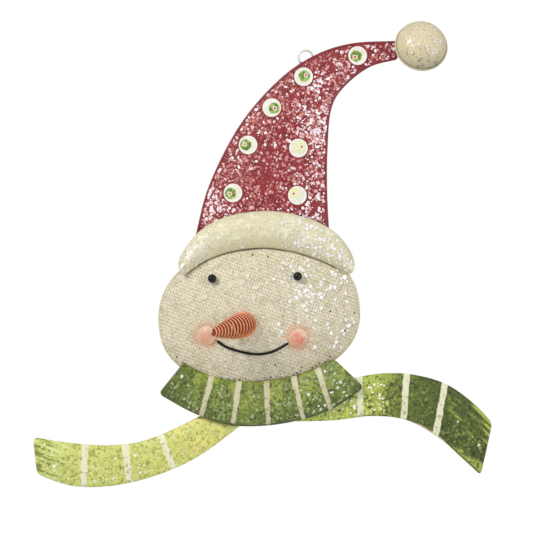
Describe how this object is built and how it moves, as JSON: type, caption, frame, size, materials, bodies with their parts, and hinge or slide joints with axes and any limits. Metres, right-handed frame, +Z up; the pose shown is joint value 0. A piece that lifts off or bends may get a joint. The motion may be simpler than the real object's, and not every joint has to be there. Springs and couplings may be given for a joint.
{
  "type": "hanging snowman ornament",
  "caption": "Flat hanging snowman-head ornament with a curved stocking hat, striped scarf and a springy coil nose, hung by a small wire ring at the hat's edge.",
  "frame": {"origin": "centre of the hanging ring", "axes": "+Z up as it hangs, the painted front faces -Y, +X to the viewer's right"},
  "size_m": [0.2516, 0.0428, 0.2562],
  "materials": {
    "face_paint": "matte cream paint over wire mesh",
    "hat_paint": "satin red paint over wire mesh, glitter",
    "cuff_paint": "matte cream paint, glitter",
    "pompom_paint": "matte cream paint, brushed",
    "dot_paint": "satin white paint with a green spot",
    "cheek_paint": "matte cream paint with sprayed pink",
    "mouth_paint": "satin black paint",
    "black_bead": "glossy black bead",
    "nose_paint": "satin orange paint on wire",
    "collar_paint": "satin green paint with cream stripes, glitter",
    "light_scarf_paint": "satin yellow-green paint with cream stripes",
    "dark_scarf_paint": "satin green paint with cream stripes, glitter",
    "ring_steel": "bare bright wire",
    "solder": "dull solder"
  },
  "bodies": {
    "ornament": {"face_panel": "face_paint", "face_rim": "face_paint", "hat_panel": "hat_paint", "hat_rim": "hat_paint", "hat_cuff": "cuff_paint", "pompom_disc": "pompom_paint", "pompom_dome": "pompom_paint", "hanging_ring": "ring_steel", "hat_dot_1": "dot_paint", "hat_dot_2": "dot_paint", "hat_dot_3": "dot_paint", "hat_dot_4": "dot_paint", "hat_dot_5": "dot_paint", "hat_dot_6": "dot_paint", "hat_dot_7": "dot_paint", "left_eye": "black_bead", "right_eye": "black_bead", "left_cheek": "cheek_paint", "right_cheek": "cheek_paint", "mouth_wire": "mouth_paint", "scarf_collar": "collar_paint", "scarf_tail_left": "light_scarf_paint", "scarf_tail_right": "dark_scarf_paint", "solder_joints": "solder"},
    "nose_lower": {"nose_coil_lower": "nose_paint"},
    "nose_upper": {"nose_coil_upper": "nose_paint"}
  },
  "joints": [
    {"name": "nose_nod", "type": "hinge", "parent": "ornament", "child": "nose_lower", "pos_m": [-0.03539, -0.02152, -0.14692], "axis": [1, 0, 0], "range_deg": [-12, 12], "stiffness_Nm_per_rad": 0.03, "deforming": ["nose_coil_lower"]},
    {"name": "nose_sway", "type": "hinge", "parent": "nose_lower", "child": "nose_upper", "pos_m": [-0.0408, -0.03017, -0.14846], "axis": [0, 0, 1], "range_deg": [-15, 15], "stiffness_Nm_per_rad": 0.03, "deforming": ["nose_coil_upper"]}
  ]
}
